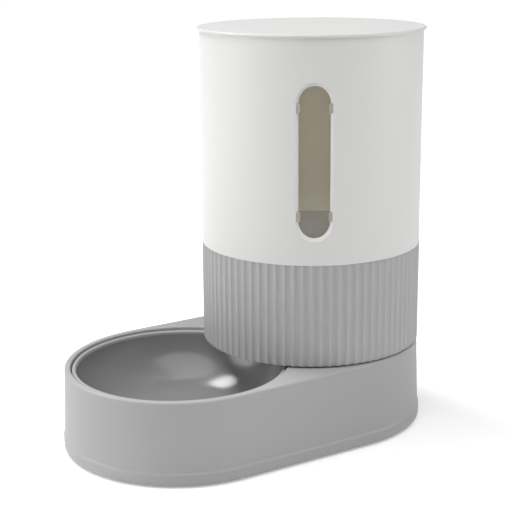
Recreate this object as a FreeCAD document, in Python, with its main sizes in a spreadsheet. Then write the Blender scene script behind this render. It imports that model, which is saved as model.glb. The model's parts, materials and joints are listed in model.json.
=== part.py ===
import FreeCAD, Part
import math
import os
import Sketcher

# Pet food dispenser: a round hopper with a fluted collar stands on the rear of a
# stadium-shaped base, and feeds a lift-out bowl let into the front of that base.
# Millimetres. +Z up, the bowl towards -Y, the floor at Z 0.

SIZES = {
    # hopper shell, which all that stands round it follows
    "shell_radius": 90.0,
    "shell_height": 173.3,
    "shell_wall": 2.6,
    "shell_edge": 0.3,
    "skirt_length": 13.2,
    "skirt_wall": 2.1,
    "skirt_gap": 0.3,
    "skirt_cone": 3.2,
    # window and its pane
    "window_angle": 57.5,
    "window_width": 28.8,
    "window_foot": 20.0,
    "window_head": 34.1,
    "window_bevel": 2.4,
    "tab_height": 7.4,
    "tab_width": 3.2,
    "tab_reach": 1.4,
    "tab_inset": 18.2,
    "tab_sink": 0.4,
    "tab_depth": 2.8,
    "pane_wall": 2.0,
    "pane_lap": 3.4,
    # ribbed collar
    "collar_height": 81.8,
    "collar_wall": 4.6,
    "collar_overhang": 0.2,
    "collar_lift": 1.1,
    "collar_rim_wall": 2.6,
    "collar_floor": 2.4,
    "collar_floor_lift": 0.5,
    "collar_edge": 0.5,
    "ledge_drop": 17.2,
    "ledge_width": 4.6,
    "ledge_lip": 1.6,
    "flute_count": 80.0,
    "flute_depth": 1.3,
    "ridge_land": 0.5,
    # twist lock between the collar and the shell's skirt
    "lock_count": 4.0,
    "lock_drop": 11.0,
    "lock_travel_angle": 22.0,
    "slot_depth": 1.5,
    "slot_height": 4.6,
    "lug_height": 3.4,
    "lug_depth": 1.1,
    "lug_angle": 12.0,
    "lug_play_angle": 1.2,
    # funnel
    "funnel_wall": 2.2,
    "funnel_rise": 5.3,
    "funnel_lip": 6.5,
    "funnel_flange": 2.4,
    "outlet_half_width": 36.0,
    "outlet_margin": 1.7,
    "outlet_lift": 0.7,
    "spout_height": 5.0,
    # lid and its seal
    "lid_overhang": 1.8,
    "lid_thickness": 2.2,
    "lid_round": 0.9,
    "lid_under_round": 0.5,
    "plug_gap": 2.2,
    "plug_depth": 11.0,
    "plug_wall": 3.0,
    "seal_height": 3.2,
    "seal_groove": 0.8,
    "seal_lip": 0.3,
    "seal_gap": 0.3,
    # base housing
    "base_margin": 5.1,
    "base_draft_angle": 2.0,
    "base_wall": 2.6,
    "deck_height": 68.3,
    "deck_fall_angle": 0.4,
    "rim_round": 1.6,
    "hopper_reach": 51.5,
    "hopper_overhang": 4.5,
    # recess for the bowl
    "recess_shift": 1.5,
    "recess_margin": 8.0,
    "recess_draft_angle": 1.2,
    "recess_clearance": 6.7,
    "recess_round": 1.0,
    "cup_flare": 1.6,
    "cup_shoulder": 5.2,
    # bowl
    "bowl_sink": 0.7,
    "bowl_groove": 1.7,
    "bowl_bead": 1.7,
    "bowl_wall": 2.4,
    "bowl_floor_radius": 36.0,
    "bowl_foot_height": 2.0,
    # bottom cover and feet
    "band_height": 10.8,
    "band_lip": 0.9,
    "band_shoulder": 1.6,
    "band_round": 2.4,
    "cover_lip_wall": 2.1,
    "cover_lip_height": 2.6,
    "foot_height": 1.5,
    "foot_radius": 7.0,
    "foot_pocket": 1.0,
    "foot_round": 0.6,
    "foot_setback": 26.8,
    "foot_angle": 69.0,
    # fixings
    "boss_radius": 4.6,
    "boss_gap": 0.3,
    "cup_boss_setback": 3.2,
    "tray_boss_height": 6.0,
    "tray_boss_margin": 0.9,
    "collar_boss_height": 9.0,
    "collar_boss_setback": 8.7,
    "collar_pad_margin": 1.4,
    "screw_shank": 1.5,
    "screw_head": 3.0,
    "screw_head_height": 2.0,
    "cross_length": 3.6,
    "cross_width": 0.8,
    "cross_depth": 1.2,
    "cover_screw_length": 10.5,
    "collar_screw_length": 13.0,
    "front_screw_angle": 52.0,
    "rear_screw_angle": 150.0,
    "collar_front_screw_angle": 64.0,
    "collar_rear_screw_angle": 132.0,
    # clearance between pieces that touch loosely, how far a cut runs past its face, and
    # how far a wall runs into the plate that it grows from
    "fit_gap": 0.4,
    "cut_over": 1.0,
    "root_depth": 0.5,
}

doc = FreeCAD.newDocument("pet_food_dispenser")
sheet = doc.addObject("Spreadsheet::Sheet", "sizes")
for row, (alias, number) in enumerate(SIZES.items(), start=1):
    sheet.set(f"A{row}", alias)
    sheet.set(f"B{row}", str(number))
    sheet.setAlias(f"B{row}", alias)
doc.recompute()


# A size that carries both its value and the sheet formula it comes from.
class Size:
    def __init__(self, value, formula):
        self.value = value
        self.formula = formula

    def __add__(self, other):
        other = size(other)
        return Size(self.value + other.value, f"({self.formula} + {other.formula})")

    def __radd__(self, other):
        return size(other) + self

    def __sub__(self, other):
        other = size(other)
        return Size(self.value - other.value, f"({self.formula} - {other.formula})")

    def __rsub__(self, other):
        return size(other) - self

    def __mul__(self, other):
        other = size(other)
        return Size(self.value * other.value, f"({self.formula} * {other.formula})")

    def __rmul__(self, other):
        return size(other) * self

    def __truediv__(self, other):
        other = size(other)
        return Size(self.value / other.value, f"({self.formula} / {other.formula})")

    def __neg__(self):
        return size(-1) * self


def size(source):
    if isinstance(source, Size):
        return source
    if isinstance(source, str):
        return Size(float(sheet.get(source)), f"sizes.{source}")
    return Size(float(source), f"{float(source):.6f}")


def root(source):
    return Size(math.sqrt(source.value), f"sqrt({source.formula})")


def sine(source):
    return Size(math.sin(math.radians(source.value)), f"sin({source.formula} * 1 deg)")


def cosine(source):
    return Size(math.cos(math.radians(source.value)), f"cos({source.formula} * 1 deg)")


def tangent(source):
    return Size(math.tan(math.radians(source.value)), f"tan({source.formula} * 1 deg)")


def bind(item, target, source):
    item.setExpression(target, size(source).formula)


# Radii about the hopper's axis, from the shell inwards and outwards.
shell_radius = size("shell_radius")
shell_in = shell_radius - size("shell_wall")
collar_radius = shell_radius + size("collar_overhang")
collar_bore = collar_radius - size("collar_wall")
skirt_out = collar_bore - size("skirt_gap")
skirt_in = skirt_out - size("skirt_wall")

# Radii and places along the base.
base_radius = collar_radius + size("base_margin")
band_radius = base_radius + size("band_lip")
recess_radius = base_radius - size("recess_margin")
centre_distance = collar_radius + recess_radius - size("hopper_reach")
half_straight = (centre_distance - size("hopper_overhang") - size("recess_shift")) / 2
hopper_y = half_straight + size("hopper_overhang")
recess_y = hopper_y - centre_distance

# Heights, from the floor up.
seam_z = size("foot_height") + size("band_height")
recess_floor_z = seam_z + size("recess_clearance")
collar_bottom = size("deck_height") + size("collar_lift")
collar_floor_z = collar_bottom + size("collar_floor_lift")
collar_top = collar_bottom + size("collar_height")
shell_top = collar_top + size("shell_height")
deck_slope = tangent(size("deck_fall_angle"))


def deck_at(y):
    return size("deck_height") + (y - hopper_y) * deck_slope


rim_z = deck_at(recess_y - recess_radius)
ceiling_z = rim_z - size("base_wall")


def new_body(label, x=None, y=None, turn=None):
    body = doc.addObject("PartDesign::Body", label)
    body.Label = label
    if turn is not None:
        turn_upright(body, turn)
    if x is not None:
        bind(body, "Placement.Base.x", x)
    if y is not None:
        bind(body, "Placement.Base.y", y)
    return body


def turn_upright(item, angle):
    item.Placement = FreeCAD.Placement(
        FreeCAD.Vector(), FreeCAD.Rotation(FreeCAD.Vector(0, 0, 1), angle.value))
    bind(item, "Placement.Rotation.Angle", angle)


def new_sketch(body, name, role, offset=None, shift=None, turn=None):
    sketch = body.newObject("Sketcher::SketchObject", name)
    plane = [item for item in body.Origin.OriginFeatures if item.Role == role][0]
    sketch.AttachmentSupport = [(plane, "")]
    sketch.MapMode = "FlatFace"
    if turn is not None:
        # a turn about the local Y axis swings an upright plane about the vertical
        sketch.AttachmentOffset = FreeCAD.Placement(
            FreeCAD.Vector(), FreeCAD.Rotation(FreeCAD.Vector(0, 1, 0), turn.value))
        bind(sketch, "AttachmentOffset.Rotation.Angle", turn)
    if offset is not None:
        bind(sketch, "AttachmentOffset.Base.z", offset)
    if shift is not None:
        bind(sketch, "AttachmentOffset.Base.x", shift)
    return sketch


def pin(sketch, kind, first, second, source):
    source = size(source)
    index = sketch.addConstraint(
        Sketcher.Constraint(kind, -1, 1, first, second, source.value))
    sketch.setExpression(f"Constraints[{index}]", source.formula)


def pin_point(sketch, geometry, point, x, y):
    pin(sketch, "DistanceX", geometry, point, x)
    pin(sketch, "DistanceY", geometry, point, y)


def pin_radius(sketch, geometry, source):
    source = size(source)
    index = sketch.addConstraint(Sketcher.Constraint("Radius", geometry, source.value))
    sketch.setExpression(f"Constraints[{index}]", source.formula)


def add_circle(sketch, x, y, radius):
    x, y, radius = size(x), size(y), size(radius)
    centre = FreeCAD.Vector(x.value, y.value, 0)
    item = sketch.addGeometry(Part.Circle(centre, FreeCAD.Vector(0, 0, 1), radius.value))
    pin_point(sketch, item, 3, x, y)
    pin_radius(sketch, item, radius)


# An outline runs through its corners in turn. A corner is (x, y) or (x, y, radius, side),
# where the edge to the next corner is then an arc bulging to the left (1) or right (-1).
def add_outline(sketch, corners):
    points = [(size(corner[0]), size(corner[1])) for corner in corners]
    items = []
    for index, corner in enumerate(corners):
        start = FreeCAD.Vector(points[index][0].value, points[index][1].value, 0)
        after = points[(index + 1) % len(points)]
        end = FreeCAD.Vector(after[0].value, after[1].value, 0)
        if len(corner) == 2:
            items.append(sketch.addGeometry(Part.LineSegment(start, end)))
            continue
        radius, side = size(corner[2]), corner[3]
        chord = end - start
        across = FreeCAD.Vector(-chord.y, chord.x, 0)
        across.normalize()
        rise = math.sqrt(max(radius.value ** 2 - (chord.Length / 2) ** 2, 0.0))
        centre = (start + end) / 2 - across * (rise * side)
        begin = math.atan2(start.y - centre.y, start.x - centre.x)
        finish = math.atan2(end.y - centre.y, end.x - centre.x)
        if side > 0:
            begin, finish = finish, begin
        circle = Part.Circle(centre, FreeCAD.Vector(0, 0, 1), radius.value)
        items.append(sketch.addGeometry(Part.ArcOfCircle(circle, begin, finish)))
        pin_radius(sketch, items[-1], radius)
    for index, corner in enumerate(corners):
        previous = items[index - 1]
        reversed_arc = len(corners[index - 1]) == 4 and corners[index - 1][3] > 0
        last_point = 1 if reversed_arc else 2
        first_point = 2 if len(corner) == 4 and corner[3] > 0 else 1
        sketch.addConstraint(
            Sketcher.Constraint("Coincident", previous, last_point, items[index], first_point))
        pin_point(sketch, items[index], first_point, *points[index])


def add_box(sketch, left, right, low, high):
    add_outline(sketch, [(left, low), (right, low), (right, high), (left, high)])


# A stadium along the sketch's upright axis: two half circles joined by straight sides.
def add_stadium(sketch, radius, half_length, centre=0.0):
    radius, half_length, centre = size(radius), size(half_length), size(centre)
    top, bottom = centre + half_length, centre - half_length
    up = FreeCAD.Vector(0, top.value, 0)
    down = FreeCAD.Vector(0, bottom.value, 0)
    out = FreeCAD.Vector(radius.value, 0, 0)
    normal = FreeCAD.Vector(0, 0, 1)
    rise = sketch.addGeometry(Part.LineSegment(down + out, up + out))
    head = sketch.addGeometry(Part.ArcOfCircle(Part.Circle(up, normal, radius.value), 0, math.pi))
    fall = sketch.addGeometry(Part.LineSegment(up - out, down - out))
    foot = sketch.addGeometry(
        Part.ArcOfCircle(Part.Circle(down, normal, radius.value), math.pi, 2 * math.pi))
    for one, other in ((rise, head), (head, fall), (fall, foot), (foot, rise)):
        sketch.addConstraint(Sketcher.Constraint("Tangent", one, 2, other, 1))
    sketch.addConstraint(Sketcher.Constraint("Equal", head, foot))
    pin_point(sketch, head, 3, 0.0, top)
    pin_point(sketch, foot, 3, 0.0, bottom)
    pin_radius(sketch, head, radius)


def add_ellipse(sketch, x, y, half_width, half_depth):
    x, y = size(x), size(y)
    half_width, half_depth = size(half_width), size(half_depth)
    centre = FreeCAD.Vector(x.value, y.value, 0)
    item = sketch.addGeometry(Part.Ellipse(
        centre + FreeCAD.Vector(half_width.value, 0, 0),
        centre + FreeCAD.Vector(0, half_depth.value, 0), centre))
    sketch.exposeInternalGeometry(item)
    pin_point(sketch, item, 3, x, y)
    sketch.addConstraint(Sketcher.Constraint("Horizontal", item + 1))
    for axis, half in ((item + 1, half_width), (item + 2, half_depth)):
        whole = half + half
        index = sketch.addConstraint(Sketcher.Constraint("Distance", axis, whole.value))
        sketch.setExpression(f"Constraints[{index}]", whole.formula)


def extruded(body, kind, name, sketch, length, reverse=False, taper=None):
    item = body.newObject(f"PartDesign::{kind}", name)
    item.Profile = sketch
    bind(item, "Length", length)
    item.Reversed = reverse
    if taper is not None:
        bind(item, "TaperAngle", taper)
    sketch.Visibility = False
    doc.recompute()
    return item


def turned(body, kind, name, sketch, angle=None):
    item = body.newObject(f"PartDesign::{kind}", name)
    item.Profile = sketch
    item.ReferenceAxis = (sketch, ["V_Axis"])
    if angle is None:
        item.Angle = 360.0
    else:
        bind(item, "Angle", angle)
    sketch.Visibility = False
    doc.recompute()
    return item


def lofted(body, kind, name, first, second):
    item = body.newObject(f"PartDesign::{kind}Loft", name)
    item.Profile = first
    item.Sections = [second]
    item.Ruled = True
    first.Visibility = False
    second.Visibility = False
    doc.recompute()
    return item


def around(body, name, feature, count):
    item = body.newObject("PartDesign::PolarPattern", name)
    item.Originals = [feature]
    axis = [part for part in body.Origin.OriginFeatures if part.Role == "Z_Axis"][0]
    item.Axis = (axis, [""])
    item.Angle = 360.0
    bind(item, "Occurrences", count)
    body.Tip = item
    doc.recompute()
    return item


def rounded(body, name, kind, measure, pick):
    base = body.Tip
    edges = [f"Edge{index}" for index, edge in enumerate(base.Shape.Edges, start=1) if pick(edge)]
    item = body.newObject(f"PartDesign::{kind}", name)
    item.Base = (base, edges)
    bind(item, "Radius" if kind == "Fillet" else "Size", measure)
    doc.recompute()
    return item


def level_edge(z, radius=None, slack=0.01):
    def pick(edge):
        box = edge.BoundBox
        if box.ZMax - box.ZMin > slack or abs(box.ZMax - z.value) > slack:
            return False
        if radius is None:
            return True
        return hasattr(edge.Curve, "Radius") and abs(edge.Curve.Radius - radius.value) < slack
    return pick


def primitive(kind, name, bindings):
    item = doc.addObject(f"Part::{kind}", name)
    for target, source in bindings.items():
        bind(item, target, source)
    return item


def combine(kind, name, items):
    item = doc.addObject(f"Part::{kind}", name)
    if kind == "Cut":
        item.Base, item.Tool = items
    else:
        item.Shapes = items
    for part in items:
        part.Visibility = False
    return item


# A pair of places, one on each side, on a ring about a centre on the long axis. The
# angle is counted from the bowl's end.
def pair_on_ring(centre_y, ring, angle):
    across, along = ring * sine(size(angle)), centre_y - ring * cosine(size(angle))
    return [(-across, along), (across, along)]


# Screw and foot places, as (x, y) pairs.
recess_low = recess_radius - (rim_z - recess_floor_z) * tangent(size("recess_draft_angle"))
lip_radius = base_radius - size("base_wall") - size("fit_gap")
lip_in = lip_radius - size("cover_lip_wall")
side_boss_x = lip_in - size("boss_radius") - size("boss_gap")
cup_boss_ring = recess_low - size("boss_radius") - size("cup_boss_setback")
under_cup_places = pair_on_ring(recess_y, cup_boss_ring, "front_screw_angle")
beside_cup_places = [
    (-side_boss_x, size(0)),
    (side_boss_x, size(0)),
    *pair_on_ring(half_straight, side_boss_x, "rear_screw_angle"),
]
cover_screw_places = under_cup_places + beside_cup_places
foot_names = ("front_left", "front_right", "rear_left", "rear_right")
foot_ring = band_radius - size("foot_setback")
foot_places = [
    *pair_on_ring(-half_straight, foot_ring, "foot_angle"),
    *pair_on_ring(half_straight, foot_ring, 180 - size("foot_angle")),
]
collar_screw_ring = collar_bore - size("boss_radius") - size("collar_boss_setback")
collar_screw_places = [
    *pair_on_ring(size(0), collar_screw_ring, "collar_front_screw_angle"),
    *pair_on_ring(size(0), collar_screw_ring, "collar_rear_screw_angle"),
]
deck_screw_places = [(x, hopper_y + y) for x, y in collar_screw_places]
tray_floor_z = size("foot_height") + size("base_wall")
boss_foot_z = tray_floor_z + size("tray_boss_height")
cover_seat_z = tray_floor_z + size("fit_gap")
shank_gap = size("screw_shank") + size("fit_gap") / 2

# Base housing: one moulded shell with drafted sides, a deck that falls slightly
# towards the bowl, a cup for the bowl and pads for the collar.
housing = new_body("base_housing")
front_y = -(half_straight + band_radius)
back_y = half_straight + band_radius
block_top_z = deck_at(back_y) + size("rim_round") + size("cut_over")
profile = new_sketch(housing, "housing_outline", "XY_Plane", offset=seam_z)
add_stadium(profile, base_radius, half_straight)
extruded(housing, "Pad", "housing_block", profile, block_top_z - seam_z,
         taper=-size("base_draft_angle"))

above = new_sketch(housing, "deck_line", "YZ_Plane", offset=-band_radius)
add_outline(above, [
    (front_y, deck_at(front_y)),
    (back_y, deck_at(back_y)),
    (back_y, block_top_z + size("cut_over")),
    (front_y, block_top_z + size("cut_over")),
])
extruded(housing, "Pocket", "deck_cut", above, band_radius * 2, reverse=True)


def on_deck(edge, slack=0.01):
    return all(abs(vertex.Z - deck_at(vertex.Y).value) < slack for vertex in edge.Vertexes)


rounded(housing, "rim_rounding", "Fillet", "rim_round", on_deck)

hollow = new_sketch(housing, "hollow_outline", "XY_Plane", offset=seam_z)
add_stadium(hollow, base_radius - size("base_wall"), half_straight)
extruded(housing, "Pocket", "hollow", hollow, ceiling_z - seam_z, reverse=True,
         taper=-size("base_draft_angle"))

cup_floor_z = recess_floor_z - size("base_wall")
cup_radius = recess_radius + size("base_wall")
cup_profile = new_sketch(housing, "cup_profile", "YZ_Plane", shift=recess_y)
add_outline(cup_profile, [
    (0.0, cup_floor_z),
    (recess_low + size("base_wall"), cup_floor_z),
    (cup_radius, ceiling_z - size("cup_shoulder")),
    (cup_radius + size("cup_flare"), ceiling_z + size("root_depth")),
    (0.0, ceiling_z + size("root_depth")),
])
turned(housing, "Revolution", "cup", cup_profile)

recess_top_z = block_top_z + size("cut_over")
recess_top = recess_radius + (recess_top_z - rim_z) * tangent(size("recess_draft_angle"))
recess_profile = new_sketch(housing, "recess_profile", "YZ_Plane", shift=recess_y)
add_outline(recess_profile, [
    (0.0, recess_floor_z),
    (recess_low, recess_floor_z),
    (recess_top, recess_top_z),
    (0.0, recess_top_z),
])
turned(housing, "Groove", "recess", recess_profile)


def on_recess_rim(edge):
    if not on_deck(edge):
        return False
    middle = edge.valueAt((edge.FirstParameter + edge.LastParameter) / 2)
    reach = math.hypot(middle.x, middle.y - recess_y.value)
    return abs(reach - recess_radius.value) < size("fit_gap").value


rounded(housing, "recess_rim_rounding", "Fillet", "recess_round", on_recess_rim)

pads = new_sketch(housing, "collar_pad_outline", "XY_Plane", offset=ceiling_z)
pad_holes = new_sketch(housing, "pad_hole_outline", "XY_Plane", offset=collar_floor_z)
for x, y in deck_screw_places:
    add_circle(pads, x, y, size("boss_radius") + size("collar_pad_margin"))
    add_circle(pad_holes, x, y, shank_gap)
extruded(housing, "Pad", "collar_pads", pads, collar_floor_z - ceiling_z)
extruded(housing, "Pocket", "pad_holes", pad_holes, collar_floor_z - ceiling_z + size("cut_over"))

for name, places, foot_top_z in (
        ("cup_bosses", under_cup_places, cup_floor_z),
        ("wall_bosses", beside_cup_places, ceiling_z)):
    bosses = new_sketch(housing, f"{name}_outline", "XY_Plane", offset=boss_foot_z)
    for x, y in places:
        add_circle(bosses, x, y, "boss_radius")
    extruded(housing, "Pad", name, bosses, foot_top_z + size("root_depth") - boss_foot_z)

boss_holes = new_sketch(housing, "boss_hole_outline", "XY_Plane", offset=boss_foot_z)
for x, y in cover_screw_places:
    add_circle(boss_holes, x, y, "screw_shank")
boss_hole_depth = cover_seat_z + size("cover_screw_length") + size("fit_gap") - boss_foot_z
extruded(housing, "Pocket", "boss_holes", boss_holes, boss_hole_depth, reverse=True)

# Bottom cover: a shallow tray with the band that shows under the seam and steps out over
# a sloped shoulder, a lip that centres the housing, and bosses around the screw heads.
cover = new_body("bottom_cover")
band = new_sketch(cover, "band_outline", "XY_Plane", offset=size("foot_height"))
add_stadium(band, band_radius, half_straight)
extruded(cover, "Pad", "band", band, "band_height")
shoulder = rounded(cover, "band_shoulder", "Chamfer", "band_lip", level_edge(seam_z))
shoulder.ChamferType = "Two distances"
shoulder.FlipDirection = True
bind(shoulder, "Size2", "band_shoulder")
doc.recompute()
rounded(cover, "band_rounding", "Fillet", "band_round", level_edge(size("foot_height")))

lip = new_sketch(cover, "lip_outline", "XY_Plane", offset=seam_z)
add_stadium(lip, lip_radius, half_straight)
extruded(cover, "Pad", "lip", lip, "cover_lip_height")

tray = new_sketch(cover, "tray_outline", "XY_Plane", offset=tray_floor_z)
add_stadium(tray, lip_in, half_straight)
tray_depth = seam_z + size("cover_lip_height") + size("cut_over") - tray_floor_z
extruded(cover, "Pocket", "tray", tray, tray_depth, reverse=True)

tray_bosses = new_sketch(cover, "tray_boss_outline", "XY_Plane", offset=size("foot_height"))
cover_holes = new_sketch(cover, "cover_hole_outline", "XY_Plane")
head_pockets = new_sketch(cover, "head_pocket_outline", "XY_Plane")
for x, y in cover_screw_places:
    add_circle(tray_bosses, x, y, size("boss_radius") + size("tray_boss_margin"))
    add_circle(cover_holes, x, y, shank_gap)
    add_circle(head_pockets, x, y, size("screw_head") + size("fit_gap") / 2)
extruded(cover, "Pad", "tray_bosses", tray_bosses, boss_foot_z - size("foot_height"))
extruded(cover, "Pocket", "cover_holes", cover_holes, boss_foot_z + size("cut_over"), reverse=True)
extruded(cover, "Pocket", "head_pockets", head_pockets, cover_seat_z, reverse=True)

foot_top_z = size("foot_height") + size("foot_pocket")
foot_pockets = new_sketch(cover, "foot_pocket_outline", "XY_Plane")
for x, y in foot_places:
    add_circle(foot_pockets, x, y, size("foot_radius") + size("fit_gap") / 4)
extruded(cover, "Pocket", "foot_pockets", foot_pockets, foot_top_z, reverse=True)

# Rubber feet, stuck into the shallow pockets under the cover.
feet = []
for label, (x, y) in zip(foot_names, foot_places):
    foot = new_body(f"foot_{label}", x, y)
    disc = new_sketch(foot, f"foot_outline_{label}", "XY_Plane")
    add_circle(disc, 0.0, 0.0, "foot_radius")
    extruded(foot, "Pad", f"foot_disc_{label}", disc, foot_top_z)
    rounded(foot, f"foot_edge_{label}", "Chamfer", "foot_round", level_edge(size(0)))
    feet.append(foot)

# Bowl: turned profile with a beaded rim, one deep curve, and a foot ring.
bowl = new_body("bowl", y=recess_y)
bead = size("bowl_bead")
bead_z = rim_z - size("bowl_sink") - bead
bead_r = recess_radius - size("bowl_groove") - bead
bowl_in = bead_r - bead
bowl_under_z = recess_floor_z + size("bowl_foot_height")
bowl_floor_z = bowl_under_z + size("bowl_wall")
curve_run = bowl_in - size("bowl_floor_radius")
curve_rise = bead_z - bowl_floor_z
inner_curve = (curve_run * curve_run + curve_rise * curve_rise) / (curve_rise * 2)
outer_curve = inner_curve + size("bowl_wall")
curve_z = bowl_floor_z + inner_curve
hem_z = bead_z - bead
foot_out = size("bowl_floor_radius") + size("bowl_wall")


def outside_at_z(z):
    drop = curve_z - z
    return size("bowl_floor_radius") + root(outer_curve * outer_curve - drop * drop)


def outside_at_r(r):
    run = r - size("bowl_floor_radius")
    return curve_z - root(outer_curve * outer_curve - run * run)


bowl_profile = new_sketch(bowl, "bowl_profile", "YZ_Plane")
add_outline(bowl_profile, [
    (0.0, bowl_under_z),
    ("bowl_floor_radius", bowl_under_z),
    ("bowl_floor_radius", recess_floor_z),
    (foot_out, recess_floor_z),
    (foot_out, outside_at_r(foot_out), outer_curve, -1),
    (outside_at_z(hem_z), hem_z),
    (bead_r + bead, hem_z),
    (bead_r + bead, bead_z, bead, -1),
    (bead_r, bead_z + bead, bead, -1),
    (bowl_in, bead_z, inner_curve, 1),
    ("bowl_floor_radius", bowl_floor_z),
    (0.0, bowl_floor_z),
])
turned(bowl, "Revolution", "bowl_turning", bowl_profile)

# The funnel's outlet ends just inside the bowl's rear rim and the collar's bore.
outlet_half_depth = (collar_bore + bowl_in - centre_distance) / 2 - (
    size("funnel_wall") + size("outlet_margin"))
outlet_forward = (collar_bore + centre_distance - bowl_in) / 2

# Ribbed collar: a cup with a fluted outside, a ledge for the funnel and the slots of
# the twist lock. The flutes are shallow hollows with narrow ridges between them.
collar = new_body("ribbed_collar", y=hopper_y)
ledge_in = collar_bore - size("ledge_width")
ledge_z = collar_top - size("ledge_drop")
ledge_under_z = ledge_z - size("ledge_lip")
rim_wall_in = collar_radius - size("collar_rim_wall")
inner_floor_z = collar_floor_z + size("collar_floor")
collar_profile = new_sketch(collar, "collar_profile", "YZ_Plane")
add_outline(collar_profile, [
    (0.0, collar_floor_z),
    (rim_wall_in, collar_floor_z),
    (rim_wall_in, collar_bottom),
    (collar_radius, collar_bottom),
    (collar_radius, collar_top),
    (collar_bore, collar_top),
    (collar_bore, ledge_z),
    (ledge_in, ledge_z),
    (ledge_in, ledge_under_z),
    (collar_bore, ledge_under_z - size("ledge_width")),
    (collar_bore, inner_floor_z),
    (0.0, inner_floor_z),
])
turned(collar, "Revolution", "collar_turning", collar_profile)
rounded(collar, "collar_top_edge", "Chamfer", "collar_edge", level_edge(collar_top, collar_radius))

flute_width = collar_radius * 2 * math.pi / size("flute_count") - size("ridge_land")
flute_radius = (flute_width * flute_width / 4 + size("flute_depth") * size("flute_depth")) / (
    size("flute_depth") * 2)
flute = new_sketch(collar, "flute_outline", "XY_Plane", offset=collar_bottom - size("cut_over"))
add_circle(flute, 0.0, collar_radius - size("flute_depth") + flute_radius, flute_radius)
first_flute = extruded(collar, "Pocket", "first_flute", flute,
                       size("collar_height") + size("cut_over") * 2, reverse=True)
around(collar, "flutes", first_flute, "flute_count")

collar_bosses = new_sketch(collar, "collar_boss_outline", "XY_Plane", offset=collar_floor_z)
collar_holes = new_sketch(collar, "collar_hole_outline", "XY_Plane", offset=collar_floor_z)
for x, y in collar_screw_places:
    add_circle(collar_bosses, x, y, "boss_radius")
    add_circle(collar_holes, x, y, "screw_shank")
extruded(collar, "Pad", "collar_bosses", collar_bosses,
         size("collar_floor") + size("collar_boss_height"))
collar_hole_depth = ceiling_z + size("collar_screw_length") + size("fit_gap") - collar_floor_z
extruded(collar, "Pocket", "collar_holes", collar_holes, collar_hole_depth, reverse=True)

spout_hole = new_sketch(collar, "spout_hole_outline", "XY_Plane",
                        offset=collar_floor_z - size("cut_over"))
spout_clear = size("funnel_wall") + size("fit_gap")
add_ellipse(spout_hole, 0.0, -outlet_forward,
            size("outlet_half_width") + spout_clear, outlet_half_depth + spout_clear)
extruded(collar, "Pocket", "spout_hole", spout_hole,
         size("collar_floor") + size("cut_over") * 2, reverse=True)

slot_z = collar_top - size("lock_drop")
slot_in, slot_out = collar_bore - size("cut_over"), collar_bore + size("slot_depth")
slot_start = size("window_angle") - size("lug_angle") / 2 - size("lug_play_angle")
slot_angle = size("lug_angle") + size("lug_play_angle") * 2
travel_slot = new_sketch(collar, "travel_slot_profile", "XZ_Plane", turn=slot_start)
add_box(travel_slot, slot_in, slot_out, slot_z, slot_z + size("slot_height"))
travel = turned(collar, "Groove", "travel_slot", travel_slot,
                slot_angle + size("lock_travel_angle"))
around(collar, "travel_slots", travel, "lock_count")
entry_slot = new_sketch(collar, "entry_slot_profile", "XZ_Plane",
                        turn=slot_start + size("lock_travel_angle"))
add_box(entry_slot, slot_in, slot_out, slot_z, collar_top + size("cut_over"))
entry = turned(collar, "Groove", "entry_slot", entry_slot, slot_angle)
around(collar, "entry_slots", entry, "lock_count")

# Funnel: an oblique cone from the collar's ledge to an oval spout over the bowl's rear,
# with a flange that lies on the ledge and a rim that stands inside the shell's skirt.
funnel = new_body("funnel", y=hopper_y)
rim_out = skirt_in - size("fit_gap")
rim_in = rim_out - size("funnel_wall")
cone_out = ledge_in - size("fit_gap")
cone_in = cone_out - size("funnel_wall")
flange_out = collar_bore - size("fit_gap")
flange_z = ledge_z + size("funnel_flange")
funnel_top_z = collar_top + size("funnel_rise")
outlet_z = collar_floor_z + size("outlet_lift")
spout_z = outlet_z + size("spout_height")


def spout_oval(name, z, extra):
    sketch = new_sketch(funnel, name, "XY_Plane", offset=z)
    add_ellipse(sketch, 0.0, -outlet_forward, size("outlet_half_width") + extra,
                outlet_half_depth + extra)
    return sketch


for side, loft_kind, spout_kind, cone_rim, extra in (
        ("outside", "Additive", "Pad", cone_out, size("funnel_wall")),
        ("inside", "Subtractive", "Pocket", cone_in, size(0))):
    cone_circle = new_sketch(funnel, f"cone_circle_{side}", "XY_Plane", offset=flange_z)
    add_circle(cone_circle, 0.0, 0.0, cone_rim)
    lofted(funnel, loft_kind, f"cone_{side}", cone_circle,
           spout_oval(f"cone_oval_{side}", spout_z, extra))
    extruded(funnel, spout_kind, f"spout_{side}", spout_oval(f"spout_oval_{side}", outlet_z, extra),
             "spout_height", reverse=spout_kind == "Pocket")

rim_profile = new_sketch(funnel, "funnel_rim_profile", "YZ_Plane")
add_outline(rim_profile, [
    (cone_in, ledge_z),
    (flange_out, ledge_z),
    (flange_out, flange_z),
    (rim_out, flange_z),
    (rim_out, funnel_top_z),
    (rim_in, funnel_top_z),
    (rim_in, funnel_top_z - size("funnel_lip")),
    (cone_in, flange_z),
])
turned(funnel, "Revolution", "funnel_rim", rim_profile)

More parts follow.
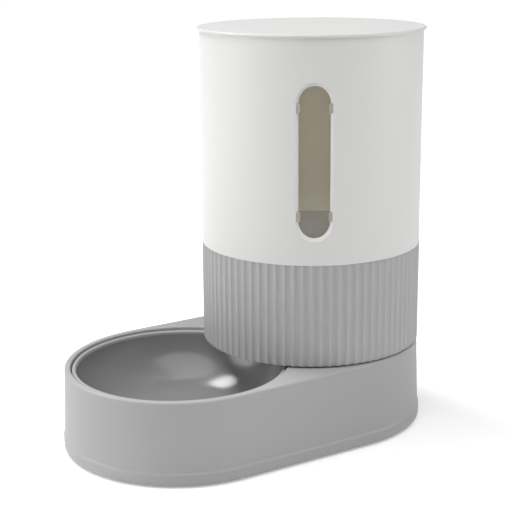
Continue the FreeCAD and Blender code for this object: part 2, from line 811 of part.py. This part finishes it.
# Hopper shell: a straight tube with a stepped skirt that enters the collar, four lugs
# of the twist lock, and a bevelled window whose bevel is notched for the pane's tabs.
shell = new_body("hopper_shell", y=hopper_y, turn=size("window_angle"))
skirt_z = collar_top - size("skirt_length")
skirt_top_z = collar_top + size("skirt_cone")
shell_profile = new_sketch(shell, "shell_profile", "YZ_Plane")
add_outline(shell_profile, [
    (skirt_in, skirt_z),
    (skirt_out, skirt_z),
    (skirt_out, collar_top),
    (shell_radius, collar_top),
    (shell_radius, shell_top),
    (shell_in, shell_top),
    (shell_in, skirt_top_z + size("shell_wall")),
    (skirt_in, skirt_top_z),
])
turned(shell, "Revolution", "shell_turning", shell_profile)
rounded(shell, "shell_bottom_edge", "Chamfer", "shell_edge", level_edge(collar_top, shell_radius))

window_half = size("window_width") / 2
window_height = size("shell_height") - size("window_foot") - size("window_head")
window_z = collar_top + size("window_foot") + window_height / 2
window_straight = window_height / 2 - window_half
edge_plane = root(shell_radius * shell_radius - window_half * window_half)
window_sections = []
for side, outward in (("outside", size("window_bevel")), ("inside", -size("window_bevel"))):
    section = new_sketch(shell, f"window_{side}", "XZ_Plane", offset=edge_plane + outward)
    add_stadium(section, window_half + outward, window_straight, window_z)
    window_sections.append(section)
lofted(shell, "Subtractive", "window", *window_sections)

tab_z = [window_z - window_height / 2 + size("tab_inset"),
         window_z + window_height / 2 - size("tab_inset")]
tab_near = window_half - size("window_bevel") - size("tab_reach")
tab_far = tab_near + size("tab_width")
tab_out = edge_plane - size("tab_sink")
tab_root = tab_out - size("tab_depth")
notches = new_sketch(shell, "notch_outline", "XZ_Plane", offset=tab_root)
for level_z in tab_z:
    low, high = level_z - size("tab_height") / 2, level_z + size("tab_height") / 2
    add_box(notches, tab_near, tab_far, low, high)
    add_box(notches, -tab_far, -tab_near, low, high)
notch_depth = shell_radius + size("cut_over") - tab_root
extruded(shell, "Pocket", "notches", notches, notch_depth, reverse=True)

lug_z = slot_z + (size("slot_height") - size("lug_height")) / 2
lug_profile = new_sketch(shell, "lug_profile", "XZ_Plane", turn=-size("lug_angle") / 2)
add_box(lug_profile, skirt_out - size("root_depth"), skirt_out + size("lug_depth"),
        lug_z, lug_z + size("lug_height"))
first_lug = turned(shell, "Revolution", "first_lug", lug_profile, "lug_angle")
around(shell, "lugs", first_lug, "lock_count")

# Window pane: a curved clear plate behind the window, with four tabs in the notches.
pane_foot_z = window_z - window_height / 2 - size("pane_lap")
pane_height = window_height + size("pane_lap") * 2
pane_tube = combine("Cut", "pane_tube", [
    primitive("Cylinder", "pane_tube_outside", {
        "Radius": shell_in,
        "Height": pane_height,
        "Placement.Base.z": pane_foot_z,
    }),
    primitive("Cylinder", "pane_tube_inside", {
        "Radius": shell_in - size("pane_wall"),
        "Height": pane_height,
        "Placement.Base.z": pane_foot_z,
    }),
])
pane_outline = doc.addObject("Sketcher::SketchObject", "pane_outline")
pane_outline.Placement = FreeCAD.Placement(
    FreeCAD.Vector(), FreeCAD.Rotation(FreeCAD.Vector(1, 0, 0), 90))
add_stadium(pane_outline, window_half - size("window_bevel") + size("pane_lap"),
            window_straight, window_z)
pane_prism = doc.addObject("Part::Extrusion", "pane_prism")
pane_prism.Base = pane_outline
pane_prism.DirMode = "Normal"
pane_prism.Solid = True
bind(pane_prism, "LengthFwd", shell_radius)
pane_parts = [combine("MultiCommon", "pane_plate", [pane_tube, pane_prism])]
tab_play = size("fit_gap") / 2
for level, level_z in enumerate(tab_z):
    for side, left_x in (("left", -tab_far + tab_play), ("right", tab_near + tab_play)):
        pane_parts.append(primitive("Box", f"pane_tab_{side}_{level}", {
            "Length": size("tab_width") - tab_play * 2,
            "Width": size("tab_depth"),
            "Height": size("tab_height") - tab_play * 2,
            "Placement.Base.x": left_x,
            "Placement.Base.y": -tab_out,
            "Placement.Base.z": level_z - size("tab_height") / 2 + tab_play,
        }))
pane = combine("MultiFuse", "window_pane", pane_parts)
turn_upright(pane, size("window_angle"))
bind(pane, "Placement.Base.y", hopper_y)

# Lid: a thin overhanging disc with a plug ring, and the silicone seal in its groove.
lid = new_body("lid", y=hopper_y)
lid_radius = shell_radius + size("lid_overhang")
lid_top_z = shell_top + size("lid_thickness")
plug_out = shell_in - size("plug_gap")
plug_in = plug_out - size("plug_wall")
plug_z = shell_top - size("plug_depth")
groove_in = plug_out - size("seal_groove")
seal_z = shell_top - size("plug_depth") / 2 - size("seal_height") / 2
seal_top_z = seal_z + size("seal_height")
lid_profile = new_sketch(lid, "lid_profile", "YZ_Plane")
add_outline(lid_profile, [
    (0.0, shell_top),
    (plug_in, shell_top),
    (plug_in, plug_z),
    (plug_out, plug_z),
    (plug_out, seal_z),
    (groove_in, seal_z),
    (groove_in, seal_top_z),
    (plug_out, seal_top_z),
    (plug_out, shell_top),
    (lid_radius, shell_top),
    (lid_radius, lid_top_z),
    (0.0, lid_top_z),
])
turned(lid, "Revolution", "lid_turning", lid_profile)
rounded(lid, "lid_top_rounding", "Fillet", "lid_round", level_edge(lid_top_z))
rounded(lid, "lid_under_rounding", "Fillet", "lid_under_round", level_edge(shell_top, lid_radius))

seal = new_body("lid_seal", y=hopper_y)
seal_out = shell_in - size("seal_gap")
lip_in = plug_out + size("seal_lip")
seal_third = size("seal_height") / 3
seal_profile = new_sketch(seal, "seal_profile", "YZ_Plane")
add_outline(seal_profile, [
    (groove_in, seal_z),
    (lip_in, seal_z),
    (seal_out, seal_z + seal_third),
    (seal_out, seal_top_z - seal_third),
    (lip_in, seal_top_z),
    (groove_in, seal_top_z),
])
turned(seal, "Revolution", "seal_turning", seal_profile)


# Self-tapping screws: a pan head with a cross recess, and a plain shank.
def screw_group(label, places, seat_z, length):
    screws = []
    head_z = seat_z - size("screw_head_height")
    blade_sizes = (("cross_length", "cross_width"), ("cross_width", "cross_length"))
    for index, (x, y) in enumerate(places):
        name = f"{label}_{index}"
        shank = primitive("Cylinder", f"{name}_shank", {
            "Radius": "screw_shank", "Height": length,
            "Placement.Base.x": x, "Placement.Base.y": y, "Placement.Base.z": seat_z})
        head = primitive("Cylinder", f"{name}_head", {
            "Radius": "screw_head", "Height": "screw_head_height",
            "Placement.Base.x": x, "Placement.Base.y": y, "Placement.Base.z": head_z})
        blades = [
            primitive("Box", f"{name}_blade_{turn}", {
                "Length": width, "Width": depth, "Height": "cross_depth",
                "Placement.Base.x": x - size(width) / 2,
                "Placement.Base.y": y - size(depth) / 2,
                "Placement.Base.z": head_z})
            for turn, (width, depth) in enumerate(blade_sizes)
        ]
        body = combine("MultiFuse", f"{name}_body", [shank, head])
        cross = combine("MultiFuse", f"{name}_cross", blades)
        screws.append(combine("Cut", f"{name}_screw", [body, cross]))
    group = doc.addObject("Part::Compound", label)
    group.Links = screws
    return group


cover_screws = screw_group("cover_screws", cover_screw_places, cover_seat_z, "cover_screw_length")
collar_screws = screw_group("collar_screws", deck_screw_places, ceiling_z, "collar_screw_length")

# Every object is sound, then each piece is written under its own name.
doc.recompute()
pieces = [housing, cover, *feet, cover_screws, collar_screws, bowl, collar, funnel, shell, pane,
          lid, seal]
faults = [item.Name for item in doc.Objects if "Invalid" in item.State or "Error" in item.State]
for piece in pieces:
    if piece.Shape.isNull() or not piece.Shape.isValid():
        faults.append(piece.Label)
if faults:
    raise RuntimeError("unsound objects: " + ", ".join(faults))

os.makedirs("parts", exist_ok=True)
for piece in pieces:
    piece.Shape.exportStep(f"parts/{piece.Label}.step")
    print(piece.Label, "solids", len(piece.Shape.Solids), "volume", round(piece.Shape.Volume, 1))
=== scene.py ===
import json
import math

import bmesh
import bpy
from mathutils import Matrix, Vector


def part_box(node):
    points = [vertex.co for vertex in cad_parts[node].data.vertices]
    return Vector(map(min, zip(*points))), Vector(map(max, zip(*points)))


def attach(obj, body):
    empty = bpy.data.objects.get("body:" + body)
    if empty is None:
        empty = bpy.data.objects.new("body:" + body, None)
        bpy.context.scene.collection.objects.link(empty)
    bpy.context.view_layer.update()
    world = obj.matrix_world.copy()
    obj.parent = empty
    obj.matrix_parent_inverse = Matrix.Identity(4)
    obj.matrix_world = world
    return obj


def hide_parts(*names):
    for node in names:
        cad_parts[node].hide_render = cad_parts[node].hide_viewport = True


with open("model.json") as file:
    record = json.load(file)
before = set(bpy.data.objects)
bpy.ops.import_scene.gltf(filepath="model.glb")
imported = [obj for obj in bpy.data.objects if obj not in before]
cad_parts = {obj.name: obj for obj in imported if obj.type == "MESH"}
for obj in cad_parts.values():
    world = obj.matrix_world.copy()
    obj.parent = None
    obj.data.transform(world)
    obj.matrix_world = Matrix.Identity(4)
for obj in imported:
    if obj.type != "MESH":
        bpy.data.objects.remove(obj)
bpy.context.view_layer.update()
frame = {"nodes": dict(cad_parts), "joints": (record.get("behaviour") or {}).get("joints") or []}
nodes = frame["nodes"]


# Base housing. One injection-moulded shell in light grey plastic, with a fine satin
# texture etched into the mould. Its deck, rounded rim, bowl cup and collar pads are all
# of a piece, so the CAD solid stays and gets the plastic's finish.
MM = 0.001
GREY = (0.416, 0.416, 0.415)
SATIN = 0.5
PLASTIC_IOR = 1.5
FLOW_SCALE = 7.0
FLOW_GLOSS = 0.08
ETCH_SIZE = 0.4 * MM
ETCH_DEPTH = 0.012 * MM
ETCH_STRENGTH = 0.3
ETCH_GLOSS = 0.06
CLOUD = 0.03
NOISE_MEAN = 0.5


class Wire:
    def __init__(self, tree, socket=None):
        self.tree = tree
        self.socket = socket

    def node(self, kind, inputs=None, output=0, **settings):
        made = self.tree.nodes.new(f"ShaderNode{kind}")
        for name, setting in settings.items():
            setattr(made, name, setting)
        for key, value in (inputs or {}).items():
            if isinstance(key, int):
                slot = made.inputs[key]
            else:
                slot = next(each for each in made.inputs if each.enabled and each.name == key)
            if isinstance(value, Wire):
                self.tree.links.new(value.socket, slot)
            else:
                slot.default_value = value
        return Wire(self.tree, made.outputs[output] if made.outputs else None)

    def maths(self, operation, first, second):
        return self.node("Math", {0: first, 1: second}, operation=operation)

    def __add__(self, other):
        return self.maths("ADD", self, other)

    def __radd__(self, other):
        return self.maths("ADD", other, self)

    def __sub__(self, other):
        return self.maths("SUBTRACT", self, other)

    def __rsub__(self, other):
        return self.maths("SUBTRACT", other, self)

    def __mul__(self, other):
        return self.maths("MULTIPLY", self, other)

    def __rmul__(self, other):
        return self.maths("MULTIPLY", other, self)

    def __truediv__(self, other):
        return self.maths("DIVIDE", self, other)

    def __rtruediv__(self, other):
        return self.maths("DIVIDE", other, self)

    def between(self, low, high):
        return self.maths("MINIMUM", self.maths("MAXIMUM", self, low), high)


def start_material(name):
    material = bpy.data.materials.new(name)
    material.use_nodes = True
    material.node_tree.nodes.clear()
    return material, Wire(material.node_tree).node("TexCoord", output="Object")


def end_material(surface):
    surface.node("OutputMaterial", {"Surface": surface})


def noise(place, scale, detail):
    return place.node("TexNoise", {"Vector": place, "Scale": scale, "Detail": detail})


def tinted(colour, shade):
    return shade.node("VectorMath", {"Vector": colour, "Scale": shade}, operation="SCALE")


def relief(height, strength, depth):
    return height.node("Bump", {"Strength": strength, "Distance": depth, "Height": height})


def moulded_plastic(name, colour, roughness, cloud=CLOUD, etch_size=ETCH_SIZE, glow=None):
    material, place = start_material(name)
    flow = noise(place, scale=FLOW_SCALE, detail=3.0)
    etch = noise(place, scale=1 / etch_size, detail=2.0)
    shade = 1 + (flow - NOISE_MEAN) * cloud + (etch - NOISE_MEAN) * cloud
    gloss = roughness + (flow - NOISE_MEAN) * FLOW_GLOSS + (etch - NOISE_MEAN) * ETCH_GLOSS
    inputs = {"Base Color": tinted(colour, shade), "Roughness": gloss,
              "Normal": relief(etch, ETCH_STRENGTH, ETCH_DEPTH), "IOR": PLASTIC_IOR}
    # glow is painted light: emission on a surface that is no lamp.
    if glow:
        inputs |= {"Emission Color": glow(place), "Emission Strength": 1.0}
    end_material(place.node("BsdfPrincipled", inputs))
    return material


def finish_node(name, material):
    nodes[name].data.materials.clear()
    nodes[name].data.materials.append(material)


grey_satin = moulded_plastic("grey_satin", GREY, SATIN)
finish_node("base_housing", grey_satin)


# Bottom cover. A tray moulded in the same grey, whose outer band shows under the seam.
# Six screws hold it to the housing from below.
COVER_SATIN = 0.54
finish_node("bottom_cover", moulded_plastic("cover_satin", GREY, COVER_SATIN))


# Feet. Four moulded discs of black rubber, stuck into shallow pockets under the cover.
# They scuff and dull where they stand on the floor.
RUBBER_BLACK = (0.045, 0.044, 0.043)
RUBBER_MATT = 0.78
DUST_START = 0.45
DUST_MOST = 0.3
DUST_PALER = 2.2
DUST_DULLER = 0.4
GRIT_DEPTH = 0.04 * MM


def foot_rubber():
    material, place = start_material("foot_rubber")
    grit = noise(place, scale=900.0, detail=4.0)
    scuff = noise(place, scale=160.0, detail=3.0)
    dust = (scuff - DUST_START).between(0, DUST_MOST)
    end_material(place.node("BsdfPrincipled", {
        "Base Color": tinted(RUBBER_BLACK, 1 + dust * DUST_PALER),
        "Roughness": RUBBER_MATT + dust * DUST_DULLER,
        "Normal": relief(grit, strength=0.4, depth=GRIT_DEPTH)}))
    return material


rubber = foot_rubber()
for name in ("foot_front_left", "foot_front_right", "foot_rear_left", "foot_rear_right"):
    finish_node(name, rubber)


# Screws. Six under the cover and four under the collar, pan heads of steel with a cross
# recess. Their zinc plating is a little cloudy, with fine crystals in it.
ZINC = (0.6, 0.6, 0.58)
ZINC_SHADE = 0.92
ZINC_GLOSS = 0.28
ZINC_CLOUD = 0.16
CRYSTAL_DEPTH = 0.03 * MM


def plated_steel():
    material, place = start_material("plated_steel")
    cloud = noise(place, scale=300.0, detail=4.0)
    crystals = place.node("TexVoronoi", {"Vector": place, "Scale": 1400.0})
    end_material(place.node("BsdfPrincipled", {
        "Base Color": tinted(ZINC, ZINC_SHADE + cloud * ZINC_CLOUD), "Metallic": 1.0,
        "Roughness": ZINC_GLOSS + cloud * ZINC_CLOUD,
        "Normal": relief(crystals, strength=0.2, depth=CRYSTAL_DEPTH)}))
    return material


steel = plated_steel()
finish_node("cover_screws", steel)
finish_node("collar_screws", steel)


# Bowl. A lift-out bowl moulded in grey, with a rolled bead that sits just under the deck's
# rim. The bead has the base's satin texture. The inside is polished to wipe clean, and its
# colour is darkened below the bead as painted shade for the shade inside the bowl.
BOWL_CENTRE = Vector((0, -61.5 * MM, 0))
BEAD_R = 84.7 * MM
BEAD_Z = 63.7 * MM
BEAD_ROUND = 1.7 * MM
FLOOR_R = 36.0 * MM
FLOOR_Z = 23.4 * MM
BOWL_WALL = 2.4 * MM
FOOT_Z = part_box("bowl")[0].z
FOOT_HEIGHT = 2.0 * MM
OUTSIDE_SHORTER = 0.035  # radians
WELD = 0.001 * MM
WALL_STEPS = 24
BEAD_STEPS = 12
TURN_STEPS = 192
POLISH_EDGE = 1.5 * MM
INSIDE_PAINTED_SHADE = 0.42
POLISH_SHINE = 0.3
POLISH_SMOOTHER = 0.7
BOWL_FLOW_GLOSS = 0.05
BOWL_ETCH_STRENGTH = 0.15


def line_to(shape, corner, r, z):
    far = shape.verts.new((0, -r, z))
    shape.edges.new((corner, far))
    return far


def arc(shape, corner, hub, turn, steps):
    bent = bmesh.ops.spin(shape, geom=[corner], cent=hub, axis=(1, 0, 0), angle=turn, steps=steps)
    return next(each for each in bent["geom_last"] if isinstance(each, bmesh.types.BMVert))


def draw_bowl(shape):
    run = BEAD_R - BEAD_ROUND - FLOOR_R
    rise = BEAD_Z - FLOOR_Z
    curve = (run * run + rise * rise) / (2 * rise)
    sweep = math.asin(run / curve)
    hub = (0, -FLOOR_R, FLOOR_Z + curve)
    corner = shape.verts.new((0, 0, FLOOR_Z))
    corner = line_to(shape, corner, FLOOR_R / 2, FLOOR_Z)
    corner = line_to(shape, corner, FLOOR_R, FLOOR_Z)
    corner = arc(shape, corner, hub, -sweep, WALL_STEPS)
    corner = arc(shape, corner, (0, -BEAD_R, BEAD_Z), math.pi, BEAD_STEPS)
    corner = line_to(shape, corner, BEAD_R + BEAD_ROUND, BEAD_Z - BEAD_ROUND)
    outer = curve + BOWL_WALL
    back = sweep - OUTSIDE_SHORTER
    corner = line_to(shape, corner, FLOOR_R + outer * math.sin(back),
                     FLOOR_Z + curve - outer * math.cos(back))
    corner = arc(shape, corner, hub, back, WALL_STEPS)
    corner = line_to(shape, corner, FLOOR_R + BOWL_WALL, FOOT_Z)
    corner = line_to(shape, corner, FLOOR_R, FOOT_Z)
    corner = line_to(shape, corner, FLOOR_R, FOOT_Z + FOOT_HEIGHT)
    line_to(shape, corner, 0, FOOT_Z + FOOT_HEIGHT)


def turned_piece(name, draw_section, centre, steps):
    shape = bmesh.new()
    draw_section(shape)
    bmesh.ops.spin(shape, geom=shape.verts[:] + shape.edges[:], axis=(0, 0, 1), cent=(0, 0, 0),
                   angle=math.tau, steps=steps, use_merge=True)
    bmesh.ops.remove_doubles(shape, verts=shape.verts[:], dist=WELD)
    bmesh.ops.recalc_face_normals(shape, faces=shape.faces[:])
    bmesh.ops.translate(shape, verts=shape.verts[:], vec=centre)
    for face in shape.faces:
        face.smooth = True
    mesh = bpy.data.meshes.new(name)
    shape.to_mesh(mesh)
    shape.free()
    piece = bpy.data.objects.new(name, mesh)
    bpy.context.scene.collection.objects.link(piece)
    return piece


def polished_bowl_with_painted_shade():
    material, place = start_material("bowl_polish_and_painted_shade")
    height = place.node("SeparateXYZ", {"Vector": place}, output="Z")
    flow = noise(place, scale=FLOW_SCALE, detail=3.0)
    etch = noise(place, scale=1 / ETCH_SIZE, detail=2.0)
    inside = ((BEAD_Z - height) / POLISH_EDGE).between(0, 1)
    # Below the bead the base colour is darkened: painted shade for the bowl's hollow.
    shade = (1 + (flow - NOISE_MEAN) * CLOUD) * (1 - inside * INSIDE_PAINTED_SHADE)
    texture = etch * (1 - inside * POLISH_SMOOTHER)
    end_material(place.node("BsdfPrincipled", {
        "Base Color": tinted(GREY, shade),
        "Roughness": SATIN - inside * POLISH_SHINE + (flow - NOISE_MEAN) * BOWL_FLOW_GLOSS,
        "Normal": relief(texture, BOWL_ETCH_STRENGTH, ETCH_DEPTH), "IOR": PLASTIC_IOR}))
    return material


bowl = turned_piece("bowl_turned", draw_bowl, BOWL_CENTRE, TURN_STEPS)
bowl.data.materials.append(polished_bowl_with_painted_shade())
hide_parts("bowl")
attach(bowl, "base_unit")


# Ribbed collar. A ring moulded in the base's grey with eighty shallow flutes, screwed down
# on the deck from inside, which carries the funnel and locks the hopper by a short twist.
# The collar's grey is a lighter copy of the base's grey: painted light on the collar.
COLLAR_PAINTED_LIGHT_GREY = (0.455, 0.455, 0.454)
COLLAR_SATIN = 0.42
collar_satin = moulded_plastic("collar_satin", COLLAR_PAINTED_LIGHT_GREY, COLLAR_SATIN)
finish_node("ribbed_collar", collar_satin)


# Funnel. An oblique cone in the same grey, smoother than the outside pieces so that the
# food slides. It lies on the collar's ledge and ends in an oval spout over the bowl. A faint
# painted glow stands in for the light the hopper's white wall lets through, and keeps it
# from going black inside.
FUNNEL_SATIN = 0.34
FUNNEL_ETCH_SIZE = 0.8 * MM
FUNNEL_PAINTED_LIGHT = (0.068, 0.068, 0.069)
FUNNEL_TOP_R = 86.5 * MM
HOPPER_AXIS = next(each["pos_m"] for each in frame["joints"] if each["name"] == "hopper_twist")
GLOW_EDGE = 0.4 * MM


def within(place, radius):
    off_axis = place.node("VectorMath", {0: place, 1: HOPPER_AXIS}, operation="SUBTRACT")
    level = place.node("VectorMath", {0: off_axis, 1: (1, 1, 0)}, operation="MULTIPLY")
    from_axis = place.node("VectorMath", {0: level}, output="Value", operation="LENGTH")
    return ((radius - from_axis) / GLOW_EDGE).between(0, 1)


# Painted light: a faint emission on the funnel, which is no lamp.
def funnel_painted_glow(place):
    return tinted(FUNNEL_PAINTED_LIGHT, within(place, FUNNEL_TOP_R))


funnel_grey = moulded_plastic("funnel_smooth", GREY, FUNNEL_SATIN, etch_size=FUNNEL_ETCH_SIZE,
                              glow=funnel_painted_glow)
finish_node("funnel", funnel_grey)


# Hopper shell. A straight tube moulded in warm white plastic, with a stadium window cut at
# an angle through its wall, and four notches for the pane's tabs. Its inside has a faint
# painted glow that stands in for the light coming through the wall, warm above, with a
# paler painted glow added low down where the grey funnel is near.
WHITE = (0.765, 0.767, 0.753)
WHITE_SATIN = 0.45
WHITE_CLOUD = 0.02
SHELL_IN = 87.4 * MM
INSIDE_SKIN = 0.5 * MM
WARM_PAINTED_LIGHT = (0.078, 0.066, 0.041)
PALE_PAINTED_LIGHT = (0.026, 0.028, 0.026)
PALE_BELOW_Z = 172.0 * MM
PALE_EDGE = 3.0 * MM


# Painted light: emission on the shell's inside, warm, with a paler band below PALE_BELOW_Z.
def shell_painted_glow(place):
    height = place.node("SeparateXYZ", {"Vector": place}, output="Z")
    low = ((PALE_BELOW_Z - height) / PALE_EDGE).between(0, 1)
    inside = within(place, SHELL_IN + INSIDE_SKIN)
    warm = tinted(WARM_PAINTED_LIGHT, inside)
    pale = tinted(PALE_PAINTED_LIGHT, inside * low)
    return place.node("VectorMath", {0: warm, 1: pale}, operation="ADD")


white_satin = moulded_plastic("white_satin", WHITE, WHITE_SATIN, cloud=WHITE_CLOUD,
                              glow=shell_painted_glow)
finish_node("hopper_shell", white_satin)


# Window pane. A curved plate of clear plastic with a faint warm smoke, snapped in behind
# the window by four milky tabs that lie in the notches.
SMOKE = (0.5, 0.46, 0.385)
SMOKE_SHADE = 0.96
SMOKE_CLOUD = 0.08
SMOKE_ALPHA = 0.16
PANE_GLOSS = 0.09
HAZE = 0.04
TAB_SKIN = 0.6 * MM
TAB_PALER = 0.12
TAB_DULLER = 0.3
TAB_MILKY = 0.55


def smoked_plastic():
    material, place = start_material("smoked_plastic")
    haze = noise(place, scale=30.0, detail=3.0)
    tab = 1 - within(place, SHELL_IN + TAB_SKIN)
    shade = (SMOKE_SHADE + haze * SMOKE_CLOUD) * (1 + tab * TAB_PALER)
    end_material(place.node("BsdfPrincipled", {
        "Base Color": tinted(SMOKE, shade),
        "Roughness": PANE_GLOSS + haze * HAZE + tab * TAB_DULLER,
        "Alpha": SMOKE_ALPHA + haze * HAZE + tab * TAB_MILKY, "IOR": PLASTIC_IOR}))
    return material


finish_node("window_pane", smoked_plastic())


# Lid and seal. A thin overhanging disc in the shell's white, with a plug ring below that
# carries a silicone seal in a groove, which keeps the food dry.
# The lid's white is a little darker than the shell's: painted shade that tones down the light on
# its top.
LID_PAINTED_SHADE_WHITE = (0.745, 0.745, 0.733)
LID_SATIN = 0.42
SEAL_WHITE = (0.62, 0.62, 0.6)
SEAL_SHADE = 0.95
SEAL_CLOUD = 0.1
SEAL_MATT = 0.55
LINT_DULLER = 0.15
LINT_DEPTH = 0.03 * MM

lid_satin = moulded_plastic("lid_satin", LID_PAINTED_SHADE_WHITE, LID_SATIN, cloud=WHITE_CLOUD)
finish_node("lid", lid_satin)


def soft_silicone():
    material, place = start_material("soft_silicone")
    lint = noise(place, scale=420.0, detail=5.0)
    end_material(place.node("BsdfPrincipled", {
        "Base Color": tinted(SEAL_WHITE, SEAL_SHADE + lint * SEAL_CLOUD),
        "Roughness": SEAL_MATT + lint * LINT_DULLER,
        "Normal": relief(lint, strength=0.2, depth=LINT_DEPTH),
        "Subsurface Weight": 0.15, "Subsurface Scale": 2.0 * MM}))
    return material


finish_node("lid_seal", soft_silicone())


# Studio. Pale paper that runs from under the object to the horizon, and a white room with
# four soft lamps. The camera sees both as white, also through the pane. The paper shows in
# reflections too, the room only faintly, and the paper keeps the object's shadow.
PAPER = (0.86, 0.86, 0.86, 1)
PAPER_REACH = 30.0
PAPER_NEAR = 0.35
PAPER_FADE = 1.8
PAPER_GLOW = 0.34
PAPER_GLOW_FAR = 0.67
ROOM_SHEEN = 0.15
AIM = Vector((0, 0, 0.16))
AZIMUTH = math.radians(55.612)

scene = bpy.context.scene
right = Vector((math.cos(AZIMUTH), math.sin(AZIMUTH), 0))
near = Vector((math.sin(AZIMUTH), -math.cos(AZIMUTH), 0))
up = Vector((0, 0, 1))


def floor_paper():
    material, place = start_material("floor_paper")
    reach = place.node("VectorMath", {0: place}, output="Value", operation="LENGTH")
    far = ((reach - PAPER_NEAR) / PAPER_FADE).between(0, 1)
    seen = place.node("LightPath", output="Is Camera Ray")
    glossy = place.node("LightPath", output="Is Glossy Ray")
    shine = (seen + glossy).between(0, 1) * (far * PAPER_GLOW_FAR + PAPER_GLOW)
    paper = place.node("BsdfDiffuse", {"Color": PAPER})
    glow = place.node("Emission", {"Color": shine, "Strength": 1.0})
    end_material(place.node("AddShader", {0: paper, 1: glow}))
    return material


def white_room():
    world = bpy.data.worlds.new("studio")
    world.use_nodes = True
    world.node_tree.nodes.clear()
    seen = Wire(world.node_tree).node("LightPath", output="Is Camera Ray")
    glossy = seen.node("LightPath", output="Is Glossy Ray")
    through = seen.node("LightPath", output="Is Transmission Ray")
    white = (seen + glossy * ROOM_SHEEN + through).between(0, 1)
    sky = seen.node("Background", {"Color": white, "Strength": 1.0})
    sky.node("OutputWorld", {"Surface": sky})
    return world


def softbox(name, place, size, power):
    light = bpy.data.lights.new(name, "AREA")
    light.shape = "ELLIPSE"
    light.size, light.size_y = size
    light.energy = power
    lamp = bpy.data.objects.new(name, light)
    turn = (AIM - place).to_track_quat("-Z", "Y").to_matrix().to_4x4()
    lamp.matrix_world = Matrix.Translation(place) @ turn
    scene.collection.objects.link(lamp)


floor_shape = bmesh.new()
bmesh.ops.create_grid(floor_shape, x_segments=1, y_segments=1, size=PAPER_REACH)
floor_mesh = bpy.data.meshes.new("floor")
floor_shape.to_mesh(floor_mesh)
floor_shape.free()
floor_mesh.materials.append(floor_paper())
floor = bpy.data.objects.new("floor", floor_mesh)
scene.collection.objects.link(floor)
scene.world = white_room()

softbox("overhead_box", place=up * 2.5 + near * 0.85, size=(3.0, 3.0), power=56)
softbox("left_box", place=right * -1.85 + up * 0.75 + near * 0.35, size=(1.3, 1.3), power=16.4)
softbox("right_box", place=right * 1.9 + up * 0.8 + near * 0.2, size=(1.0, 1.6), power=11.6)
softbox("bowl_box", place=Vector((-1.26, -0.46, 2.0)), size=(1.1, 0.7), power=28)


# Camera. At the height and angle from which the photograph was taken, solved from the
# object's outlines there.
YAW = math.radians(-2.547)
PITCH = math.radians(14.661)
ROLL = math.radians(-0.473)
CAMERA_PLACE = Vector((0.84705, -0.51524, 0.4044))
FOCAL_LENGTH = 88.855
SENSOR_WIDTH = 36

heading = Matrix.Rotation(AZIMUTH - YAW, 4, "Z")
tilt = Matrix.Rotation(math.pi / 2 - PITCH, 4, "X")
lens = bpy.data.cameras.new("camera")
lens.lens = FOCAL_LENGTH
lens.sensor_width = SENSOR_WIDTH
camera = bpy.data.objects.new("camera", lens)
camera.matrix_world = (Matrix.Translation(CAMERA_PLACE) @ heading @ tilt
                       @ Matrix.Rotation(ROLL, 4, "Z"))
scene.collection.objects.link(camera)
scene.camera = camera
scene.view_settings.view_transform = "Standard"
